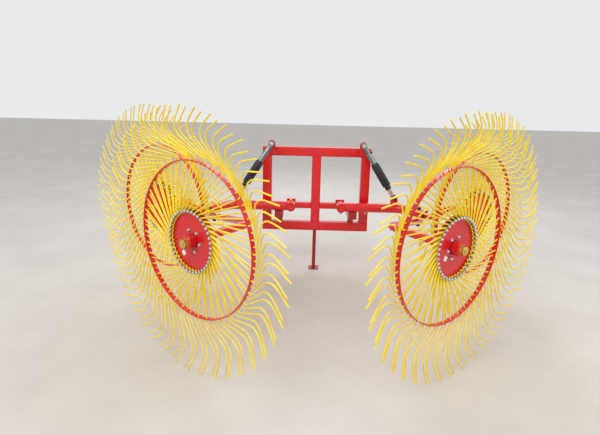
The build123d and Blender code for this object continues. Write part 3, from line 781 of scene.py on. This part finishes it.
def hoop_holes(sizes):
    """Where each leg's line meets the hoop: turn of the cell, turn of the hole in it, and height."""
    holes = []
    for (_, leg), cell in zip(hairpin_legs(sizes), (sizes.lead_hole, sizes.trail_hole)):
        (a, _), (b, _) = leg[:2]
        run = b - a
        square = run.x ** 2 + run.y ** 2
        half = a.x * run.x + a.y * run.y
        share = (-half + (half ** 2 - square * (a.x ** 2 + a.y ** 2 - sizes.hoop ** 2)) ** 0.5) / square
        meet = a + run * share
        holes.append((cell, atan2(meet.y, meet.x) - cell, meet.z))
    return holes


class RAKE_OT_tines(bpy.types.Operator):
    """Bends the hairpin tines of round spring wire and sets them round each wheel"""
    bl_idname = "rake.tines"
    bl_label = "Tines"

    def execute(self, context):
        sizes = context.scene.rake_wheel
        tines = grown("wire_ring", hairpin_line(sizes), wire_radius=sizes.wire / 2, wire_sides=8, bend_steps=4,
                      count=sizes.hairpins, start_angle=sizes.first_bolt, material=finish("yellow_paint"))
        on_wheels(("wire_tines", tines, "yellow_paint", "tines", 60))
        return {"FINISHED"}


def hoop_cell(sizes, cell, turn, height):
    """One pitch of the hoop: flat bar with the hole that a tine's leg passes."""
    half_run = pi * sizes.hoop / sizes.hairpins / 2
    half_wide, depth, ease = sizes.hoop_wide / 2, sizes.hoop_thick / 2, DISC_EDGE[0]
    flat = half_wide - ease
    hole = sizes.wire / 2 + sizes.hole_gap
    middle = turn * sizes.hoop
    third = flat / 3
    rim = [(half_run, z) for z in (-flat, -third, third, flat)]
    rim += [(half_run / 3, flat), (-half_run / 3, flat)]
    rim += [(-half_run, z) for z in (flat, third, -third, -flat)]
    rim += [(-half_run / 3, -flat), (half_run / 3, -flat)]
    form = bmesh.new()

    def at(run, z, out):
        return form.verts.new(polar(sizes.hoop + out, cell + run / sizes.hoop, z))

    def edge_of_hole(run, z, out):
        far = hypot(run - middle, z - height)
        return at(middle + (run - middle) / far * hole, height + (z - height) / far * hole, out)

    sheets = []
    for out in (depth, -depth):
        sheets.append([[corner(run, z, out) for run, z in rim] for corner in (at, edge_of_hole)])
        band(form, *sheets[-1])
    (outer_a, inner_a), (outer_b, inner_b) = sheets
    band(form, inner_a, inner_b)
    for edge in ([3, 4, 5, 6], [9, 10, 11, 0]):
        side = 1 if rim[edge[0]][1] > 0 else -1
        runs = [rim[k][0] for k in edge]
        rows = [[outer_a[k] for k in edge],
                [at(run, side * half_wide, depth - ease) for run in runs],
                [at(run, side * half_wide, ease - depth) for run in runs],
                [outer_b[k] for k in edge]]
        for low, high in zip(rows, rows[1:]):
            for k in range(len(edge) - 1):
                form.faces.new((low[k], low[k + 1], high[k + 1], high[k]))
    return to_mesh(form)


class RAKE_OT_hoops(bpy.types.Operator):
    """Rolls the hoops of drilled flat bar that the tines pass through"""
    bl_idname = "rake.hoops"
    bl_label = "Hoops"

    def execute(self, context):
        sizes = context.scene.rake_wheel
        cells = joined([hoop_cell(sizes, *hole) for hole in hoop_holes(sizes)])
        form = bmesh.new()
        form.from_mesh(round_wheel(cells, sizes, "red_paint"))
        bmesh.ops.remove_doubles(form, verts=form.verts, dist=WELD_APART)
        on_wheels(("drilled_hoop", outward(form), "red_paint", "hoop", 35))
        return {"FINISHED"}


class RAKE_OT_discs(bpy.types.Operator):
    """Makes the wheel discs and the bolts that clamp the tines to them"""
    bl_idname = "rake.discs"
    bl_label = "Discs and tine bolts"

    def execute(self, context):
        sizes, inner = context.scene.rake_wheel, context.scene.rake_hub.barrel
        back, face = sizes.disc_face - sizes.disc_thick, sizes.disc_face
        disc = drum(sizes.disc_radius, back, face, 128, inner, DISC_EDGE, DISC_EDGE)
        head = hexagon(sizes.back_head, 0, sizes.back_head_tall, TINE_NUT["chamfer"])
        bolt = joined([moved(domed_nut(sizes.head_seat, **TINE_NUT), sizes.bolt_circle, 0, 0),
                       placed(head, facing((sizes.bolt_circle, 0, back), DOWN, RIGHT))])
        # The shanks are black as painted shade: the dark spot under each tine bolt's head
        shank = moved(drum(sizes.shank, face, sizes.head_seat, 8), sizes.bolt_circle, 0, 0)
        bolts = round_wheel(bolt, sizes, "zinc_steel")
        shank_shade = round_wheel(shank, sizes, "black_steel")
        on_wheels(("tine_shanks", shank_shade, "black_steel", None, 40), ("disc_plate", disc, "red_paint", "disc", 40),
                  ("tine_bolts", bolts, "zinc_steel", None, 40))
        return {"FINISHED"}


class RAKE_OT_hubs(bpy.types.Operator):
    """Turns the hubs, sets their bolts and axle nuts, and puts a blank label on each disc"""
    bl_idname = "rake.hubs"
    bl_label = "Hubs"

    def execute(self, context):
        wheel, sizes = context.scene.rake_wheel, context.scene.rake_hub
        face, back = wheel.disc_face, wheel.disc_face - wheel.disc_thick
        flange, ease, nose = back - sizes.flange_thick, 0.002, 0.003
        barrel = lathe([
            (sizes.bore, sizes.back_end), (sizes.barrel - ease, sizes.back_end),
            (sizes.barrel, sizes.back_end + ease), (sizes.barrel, flange), (sizes.flange - ease, flange),
            (sizes.flange, flange + ease), (sizes.flange, back), (sizes.barrel, back),
            (sizes.barrel, sizes.proud - nose), (sizes.barrel - nose, sizes.proud), (sizes.bore, sizes.proud)], 64)
        # A thin black ring on the disc round each barrel: painted shade in the crease between them
        seam_shade = drum(sizes.barrel + SEAM_SHADE[1], face, face + SEAM_SHADE[2], 64, sizes.barrel + SEAM_SHADE[0])
        bolts = grown("ring", moved(domed_nut(face, **HUB_NUT), sizes.hub_bolt_circle, 0, 0),
                      count=sizes.hub_bolts, start_angle=sizes.hub_bolt_turn, material=finish("zinc_steel"))
        seat = sizes.proud + sizes.nut_gap
        low = seat + sizes.washer_thick
        high = low + sizes.nut_tall
        nut = joined([
            drum(sizes.washer, seat, low, 32, sizes.bore), hexagon(sizes.nut, low, high, NUT_CHAMFER),
            drum(sizes.thread, high, high + sizes.thread_proud, 32, head=THREAD_EDGE)])
        corner, thick, edge = PAPER
        paper = slab(rounded_outline(sizes.label, sizes.label, corner, 2), face, face + thick, edge)
        nuts = {side: [] for side in SIGNS}
        for name, side, body, place in wheels():
            piece(f"{name}_turned_hub_{side}", placed(barrel, place), "red_paint", body, [f"{name}_hub_{side}"])
            piece(f"{name}_hub_bolts_{side}", placed(bolts, place), "zinc_steel", body)
            piece(f"{name}_hub_seam_shade_{side}", placed(seam_shade, place), "black_steel", body)
            nuts[side].append(placed(nut, place))
            radius, turn, slant = LABELS[side]
            spot = Matrix.Translation(polar(radius, turn if side == "left" else pi - turn))
            piece(f"{name}_blank_label_{side}", placed(paper, place @ spot @ Matrix.Rotation(slant, 4, "Z")),
                  "label", body)
        for side, meshes in nuts.items():
            side_piece("axle_nuts_gold", side, joined(meshes), "yellow_zinc", "axle_nuts")
        return {"FINISHED"}


# Booms, cylinders and frame

def side_piece(kind, side, mesh, look, solid=None, smooth=40, body="boom"):
    """A piece of one side's boom, cylinder or ram, and the kind of solid it stands for."""
    piece(f"{kind}_{side}", mesh, look, f"{body}_{side}_body", [f"{solid}_{side}"] if solid else (), smooth)


def joint_place(name):
    return next(Vector(joint["pos_m"]) for joint in frame["joints"] if joint["name"] == name)


def axle_lines(side):
    """The hubs' height, and for each place a function of how far behind that hub and how high a point is."""
    lines = {}
    for joint in frame["joints"]:
        if joint["name"].endswith("wheel_spin_" + side):
            hub, out = Vector(joint["pos_m"]), Vector(joint["axis"]).normalized()
            lines[joint["name"].split("_")[0]] = lambda back, z, hub=hub, out=out: Vector(
                (hub.x - out.x * back, hub.y - out.y * back, z))
            lines["hub_z"] = hub.z
    return lines


def boom_pieces(sizes, side, sign, end_line):
    """A boom with its hinge boss and cylinder lugs, their beads, the foot pin and the bolt in the boss."""
    hinge = joint_place("boom_lift_" + side)
    z, tube, half, ease = hinge.z, sizes.boom, sizes.boss_long / 2, (0.0015, 0.0015)
    boom = bent_tube([hinge, end_line(sizes.corner_back, z), end_line(sizes.end_back, z)],
                     sizes.boom_bend, tube, 40)
    boss = placed(drum(tube, -half, half, 48, sizes.boss_bore, ease, ease), facing(hinge, AHEAD, RIGHT))
    wide, thick, rise = sizes.lug_round, sizes.lug_thick, sizes.lug_z - z
    outline = [(-wide, sizes.lug_root), (wide, sizes.lug_root)]
    outline += [(x, rise + y) for x, y, _ in (polar(wide, pi * k / 12) for k in range(13))]
    upright = Matrix.Translation((sign * sizes.lug_x, hinge.y, z)) @ Matrix.Rotation(pi / 2, 4, "X")
    lugs = [placed(slab(outline, low, low + thick), upright) for low in (sizes.lug_half, -sizes.lug_half - thick)]
    side_piece("boom_tube", side, joined([boom, boss, *lugs]), "red_paint", "boom", 35)

    # One bead runs round the saddle of boom and boss, and one along each lug's outer foot
    runs = [[hinge + Vector((sign * tube * abs(cos(t)), tube * cos(t), tube * sin(t)))
             for t in (2 * pi * k / 40 for k in range(41))]]
    for y in (sizes.lug_half + thick + 0.0005, -sizes.lug_half - thick - 0.0005):
        top = z + (tube ** 2 - y ** 2) ** 0.5
        runs.append([(sign * sizes.lug_x + x, hinge.y + y, top) for x in (-wide, 0, wide)])
    side_piece("boom_welds", side, beads(runs, sizes.boom_bead), "red_paint", smooth=60)

    upper = [(radius, sizes.lug_half + thick + height) for radius, height in FOOT_PIN]
    pin = lathe([(radius, -height) for radius, height in reversed(upper)] + upper, 32)
    foot = (sign * sizes.lug_x, hinge.y, sizes.lug_z)
    side_piece("cylinder_foot_pin", side, placed(pin, facing(foot, AHEAD, RIGHT)), "black_steel")

    # The bolt that locks the boss stands on the left one and hangs under the right one
    lock = placed(moved(headed_bolt(*LOCK_BOLT), 0, 0, tube), facing(hinge, (0, 0, -sign), RIGHT))
    side_piece("boss_lock_bolt", side, lock, "yellow_zinc")


def arm_pieces(sizes, side, front, rear, hub_z):
    """The two wheel arms of a boom, the plug in the boom's end, the rear arm's cap and the clamp bolt."""
    z, tube = joint_place("boom_lift_" + side).z, sizes.boom
    arm = bent_tube([front(sizes.front_start, z), front(sizes.front_dip, z), front(sizes.front_level, hub_z),
                     front(sizes.arm_end, hub_z)], sizes.front_bend, sizes.arm)
    side_piece("front_arm_tube", side, arm, "red_paint", "front_arm", 35)
    end = front(sizes.end_back, z)
    neck, lip, ease = tube - 0.005, 0.006, 0.002
    plug = lathe([(sizes.arm, -sizes.plug_deep), (neck, -sizes.plug_deep), (neck, 0), (tube, 0),
                  (tube, lip - ease), (tube - ease, lip), (sizes.arm, lip)], 48)
    side_piece("boom_end_plug", side, placed(plug, facing(end, front(0, z) - end, UP)), "black_rubber",
               "boom_end_bush")

    bolt = front(sizes.clamp_back, z - tube - sizes.clamp_seat - sizes.arm)
    elbow = rear(sizes.rear_elbow, hub_z)
    ahead = (elbow - bolt).normalized()
    tail = bolt - ahead * sizes.rear_tail
    arm = bent_tube([tail, elbow, rear(sizes.arm_end, hub_z)], sizes.rear_bend, sizes.arm)
    side_piece("rear_arm_tube", side, arm, "red_paint", "rear_arm", 35)
    wall, dome, deep = 0.0008, 0.003, 0.012
    cap = drum(sizes.arm + wall, -dome, deep, 32, foot=(wall + ease, dome))
    side_piece("rear_arm_end_cap", side, placed(cap, facing(tail, ahead, UP)), "black_rubber")

    head = headed_bolt(*CLAMP_BOLT)
    both = joined([moved(head, bolt.x, bolt.y, z + tube),
                   placed(head, facing((bolt.x, bolt.y, bolt.z - sizes.arm), DOWN, RIGHT))])
    side_piece("arm_clamp_bolt", side, both, "black_steel", "arm_clamp")


class RAKE_OT_booms(bpy.types.Operator):
    """Bends the booms and wheel arms, with their bosses, lugs, weld beads and clamp bolts"""
    bl_idname = "rake.booms"
    bl_label = "Booms and arms"

    def execute(self, context):
        for side, sign in SIGNS.items():
            lines = axle_lines(side)
            boom_pieces(context.scene.rake_boom, side, sign, lines["front"])
            arm_pieces(context.scene.rake_boom, side, **lines)
        return {"FINISHED"}


class RAKE_OT_cylinders(bpy.types.Operator):
    """Turns the lift cylinders: barrel, sleeve, dust tube, ram, eyes and capped ports"""
    bl_idname = "rake.cylinders"
    bl_label = "Lift cylinders"

    def execute(self, context):
        boom, sizes = context.scene.rake_boom, context.scene.rake_cylinder
        ease = (0.001, 0.001)
        eye = drum(sizes.eye, -sizes.eye_half, sizes.eye_half, 40, sizes.eye_bore, ease, ease)
        cross = placed(eye, facing((0, 0, 0), AHEAD, RIGHT))
        tube = drum(sizes.barrel, sizes.barrel_start, sizes.barrel_end, 48, foot=(0.001, 0.002))
        upper, port, cap = joined([cross, drum(**COLLAR)]), hexagon(**PORT), drum(**PORT_CAP)
        for side, sign in SIGNS.items():
            top = joint_place("cylinder_swing_" + side)
            run = Vector((sign * boom.lug_x, top.y, boom.lug_z)) - top
            lay, end = facing(top, run, UP), run.length
            # In the cylinder's own axes X looks up, and on the left Y looks ahead
            spot = lay @ facing((0, 0, sizes.port), AHEAD if side == "left" else RIGHT, UP)
            ram = drum(sizes.ram, sizes.ram_start, end - sizes.ram_stop, 48,
                       foot=(0.0007, 0.001), head=(0.0007, 0.002))
            lower = moved(joined([cross, drum(**RAM_COLLAR)]), 0, 0, end)
            # columns: kind of body, kind of piece, mesh, its place, finish, kind of solid it stands for
            for body, kind, mesh, place, look, solid in (
                    ("cylinder", "lift_barrel", tube, lay, "cylinder_steel", "cylinder_barrel"),
                    ("cylinder", "lift_barrel_eye", upper, lay, "cylinder_steel", None),
                    ("cylinder", "lift_port", port, spot, "black_steel", None),
                    ("cylinder", "lift_port_cap", cap, spot, "red_cap", None),
                    ("cylinder", "lift_sleeve", lathe(SLEEVE, 56), lay, "black_rubber", "cylinder_sleeve"),
                    ("ram", "lift_dust_tube", lathe(DUST_TUBE), lay, "black_gloss", "cylinder_dust_tube"),
                    ("ram", "lift_ram", ram, lay, "chrome", "cylinder_rod"),
                    ("ram", "lift_ram_eye", lower, lay, "black_steel", None)):
                side_piece(kind, side, placed(mesh, place), look, solid, body=body)
            seat = (top.x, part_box("cylinder_brackets")[0][1], top.z)
            head = placed(headed_bolt(*PIN_HEAD), facing(seat, BEHIND, RIGHT))
            piece(f"lift_pin_head_{side}", head, "zinc_steel", "frame")
        return {"FINISHED"}


class RAKE_OT_frame(bpy.types.Operator):
    """Welds the hitch frame of rolled rectangular tube, with its beads and small bolts"""
    bl_idname = "rake.frame"
    bl_label = "Frame"

    def execute(self, context):
        sizes = context.scene.rake_frame
        low, high = [Vector(corner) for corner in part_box("frame_rails")]
        middle = (low + high) / 2
        bar, section = sizes.bar, (sizes.wall, sizes.corner)
        deep = high.y - low.y
        rail = rolled_tube(deep, bar, high.x - low.x, *section)
        rails = [placed(rail, facing((0, middle.y, z), RIGHT, AHEAD)) for z in (low.z + bar / 2, high.z - bar / 2)]
        piece("frame_rail_tubes", joined(rails), "red_paint", "frame", ["frame_rails"], smooth=35)

        outer = high.x - bar / 2
        post = rolled_tube(bar, deep, high.z - low.z - 2 * bar, *section)
        posts = [moved(post, x, middle.y, middle.z) for x in (-outer, 0, outer)]
        piece("frame_upright_tubes", joined(posts), "red_paint", "frame", ["frame_uprights"], smooth=35)

        cross_low, cross_high = [Vector(corner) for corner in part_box("frame_cross_bars")]
        start, end, centre = bar / 2, cross_high.x, (cross_low + cross_high) / 2
        cross = rolled_tube(cross_high.y - cross_low.y, cross_high.z - cross_low.z, end - start, *section)
        bars = [placed(cross, facing((sign * (start + end) / 2, centre.y, centre.z), RIGHT, AHEAD))
                for sign in SIGNS.values()]
        piece("frame_cross_tubes", joined(bars), "red_paint", "frame", ["frame_cross_bars"], smooth=35)

        # Beads lie where the uprights meet the rails and where the cross bars meet the uprights
        inset = sizes.corner
        runs = [[(x + share * (bar / 2 - inset), y, z) for share in (-1, 0, 1)]
                for y in (low.y, high.y) for x in (-outer, 0, outer) for z in (low.z + bar, high.z - bar)]
        runs += [[(x, low.y, z) for z in (cross_low.z + inset, cross_high.z - inset)]
                 for x in (-end, -start, start, end)]
        piece("frame_weld_beads", beads(runs, sizes.bead), "red_paint", "frame", smooth=60)

        bolt = headed_bolt(*SMALL_BOLT)
        bolts = [placed(bolt, facing((sign * sizes.bolt_x, low.y, sizes.bolt_z), BEHIND, RIGHT))
                 for sign in SIGNS.values()]
        piece("frame_small_bolts", joined(bolts), "yellow_zinc", "frame")
        return {"FINISHED"}


class RAKE_OT_stand(bpy.types.Operator):
    """Makes the stand leg with its foot, and the guide that it slides in"""
    bl_idname = "rake.stand"
    bl_label = "Stand"

    def execute(self, context):
        sizes = context.scene.rake_stand
        low, high = [Vector(corner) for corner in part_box("stand_leg")]
        middle, long = (low + high) / 2, high.z - low.z - sizes.foot_thick
        leg = rolled_tube(sizes.leg, sizes.leg, long, sizes.leg_wall, sizes.leg_corner)
        foot = slab(rounded_outline(high.x - low.x, high.y - low.y, sizes.foot_corner), 0, sizes.foot_thick)
        both = joined([moved(leg, 0, middle.y, high.z - long / 2), moved(foot, 0, middle.y, low.z)])
        # The leg, its foot and the foot's weld take the red darkened as painted shade
        piece("stand_leg_tube", both, "red_paint_with_painted_shade", "stand", ["stand_leg"], smooth=35)
        half = sizes.leg / 2
        line = [(x * half, middle.y + y * half, low.z + sizes.foot_thick)
                for x, y in ((-1, -1), (1, -1), (1, 1), (-1, 1), (-1, -1))]
        piece("stand_foot_weld", beads([line], sizes.foot_bead), "red_paint_with_painted_shade", "stand", smooth=60)

        low, high = [Vector(corner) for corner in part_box("stand_guide")]
        wide = high.x - low.x
        guide = rolled_tube(wide, wide, high.z - low.z, sizes.guide_wall, sizes.leg_corner)
        guide = moved(guide, 0, middle.y, (low.z + high.z) / 2)
        piece("stand_guide_tube", guide, "red_paint", "frame", ["stand_guide"], smooth=35)
        return {"FINISHED"}


class RAKE_OT_linchpins(bpy.types.Operator):
    """Puts a linchpin with its spring ring through each lower hitch pin"""
    bl_idname = "rake.linchpins"
    bl_label = "Linchpins"

    def execute(self, context):
        sizes, turns = context.scene.rake_stand, 28
        low, high = [Vector(corner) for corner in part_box("hitch_pins")]
        middle, radius = (low + high) / 2, sizes.linch_ring
        line = [(0, radius * sin(t), RING_TOP - radius + radius * cos(t))
                for t in (2 * pi * k / turns for k in range(turns + 1))]
        spring = grown("wire_ring", polyline(line, {"bend": [0] * len(line)}), wire_radius=sizes.linch_wire,
                       wire_sides=8, bend_steps=1, count=1, start_angle=0.0, material=finish("zinc_steel"))
        both = joined([lathe(LINCHPIN, 16), spring])
        pins = [moved(both, sign * (high.x - sizes.linch_in), middle.y, middle.z) for sign in SIGNS.values()]
        piece("lower_pin_linchpins", joined(pins), "zinc_steel", "frame")
        return {"FINISHED"}


class RAKE_OT_solids(bpy.types.Operator):
    """Gives every solid that stays its finish"""
    bl_idname = "rake.solids"
    bl_label = "Solids"

    def execute(self, context):
        slots = {part["node"]: part["material_slot"] for part in frame["record"]["subparts"]}
        for name, obj in frame["nodes"].items():
            obj.data.materials.clear()
            # The boom rests take the red darkened as painted shade
            obj.data.materials.append(finish("red_paint_with_painted_shade" if name == "boom_rests" else slots[name]))
        return {"FINISHED"}


class RAKE_OT_stage(bpy.types.Operator):
    """Sets the floor, the soft light and the camera"""
    bl_idname = "rake.stage"
    bl_label = "Stage"

    def execute(self, context):
        scene, sizes = context.scene, context.scene.rake_stage
        half = sizes.floor
        mesh = bpy.data.meshes.new("floor")
        corners = [(-half, -half, 0), (half, -half, 0), (half, half, 0), (-half, half, 0)]
        mesh.from_pydata(corners, [], [(0, 1, 2, 3)])
        mesh.materials.append(finish("floor"))
        floor = bpy.data.objects.new("floor", mesh)
        scene.collection.objects.link(floor)

        world = bpy.data.worlds.new("studio")
        scene.world = world
        world.use_nodes = True
        tree = world.node_tree
        tree.nodes.clear()
        # The camera and reflections see the background; everything else is lit by the soft light
        rays = add(tree, "ShaderNodeLightPath").outputs
        seen = add(tree, "ShaderNodeMath", {
            0: rays["Is Camera Ray"], 1: rays["Is Glossy Ray"]}, operation="MAXIMUM")
        soft = add(tree, "ShaderNodeBackground", {"Color": "#F4F6FA", "Strength": SOFT_LIGHT})
        shown = add(tree, "ShaderNodeBackground", {"Color": (*sizes.background, 1), "Strength": 1.0})
        both = add(tree, "ShaderNodeMixShader", {0: seen.outputs[0], 1: soft.outputs[0], 2: shown.outputs[0]})
        add(tree, "ShaderNodeOutputWorld", {"Surface": both.outputs[0]})

        for name, at, aim, width, watts in LAMPS:
            light = bpy.data.lights.new(name, "AREA")
            light.shape = "DISK"
            light.size = width
            light.energy = watts
            lamp = bpy.data.objects.new(name, light)
            turn = (Vector(aim) - Vector(at)).to_track_quat("-Z", "Y")
            lamp.matrix_world = Matrix.Translation(at) @ turn.to_matrix().to_4x4()
            scene.collection.objects.link(lamp)

        pitch, yaw, roll = sizes.pitch, sizes.yaw, sizes.roll
        ahead = Vector((sin(yaw) * cos(pitch), cos(yaw) * cos(pitch), -sin(pitch)))
        right = Vector((cos(yaw), -sin(yaw), 0))
        above = right.cross(ahead)
        right, above = cos(roll) * right - sin(roll) * above, sin(roll) * right + cos(roll) * above
        lens = bpy.data.cameras.new("camera")
        lens.lens = sizes.lens
        lens.sensor_width = SENSOR
        lens.shift_y = sizes.rise
        lens.clip_end = CLIP_END
        camera = bpy.data.objects.new("camera", lens)
        turned = Matrix((right, above, -ahead)).transposed().to_4x4()
        camera.matrix_world = Matrix.Translation(sizes.camera) @ turned
        scene.collection.objects.link(camera)
        scene.camera = camera
        scene.view_settings.view_transform = "Standard"
        return {"FINISHED"}


class RAKE_PT_pieces(bpy.types.Panel):
    """Lists the pieces and their sizes in the sidebar"""
    bl_label = "Wheel rake"
    bl_space_type = "VIEW_3D"
    bl_region_type = "UI"
    bl_category = "Rake"

    def draw(self, context):
        for kind in OPERATORS:
            self.layout.operator(kind.bl_idname)
        for group in GROUPS:
            for name in GROUPS[group].__annotations__:
                self.layout.prop(getattr(context.scene, group), name)


GROUPS = {"rake_wheel": WheelSizes, "rake_hub": HubSizes, "rake_boom": BoomSizes, "rake_cylinder": CylinderSizes,
          "rake_frame": FrameSizes, "rake_stand": StandSizes, "rake_stage": StageSizes}
OPERATORS = (RAKE_OT_stage, RAKE_OT_solids, RAKE_OT_tines, RAKE_OT_hoops, RAKE_OT_discs, RAKE_OT_hubs,
             RAKE_OT_booms, RAKE_OT_cylinders, RAKE_OT_frame, RAKE_OT_stand, RAKE_OT_linchpins)


def register():
    for kind in (*GROUPS.values(), *OPERATORS, RAKE_PT_pieces):
        bpy.utils.register_class(kind)
    for name, group in GROUPS.items():
        setattr(bpy.types.Scene, name, PointerProperty(type=group))


def unregister():
    for name in GROUPS:
        delattr(bpy.types.Scene, name)
    for kind in reversed((*GROUPS.values(), *OPERATORS, RAKE_PT_pieces)):
        bpy.utils.unregister_class(kind)


def main():
    register()
    for kind in OPERATORS:
        family, name = kind.bl_idname.split(".")
        getattr(getattr(bpy.ops, family), name)()


if __name__ == "__main__":
    main()
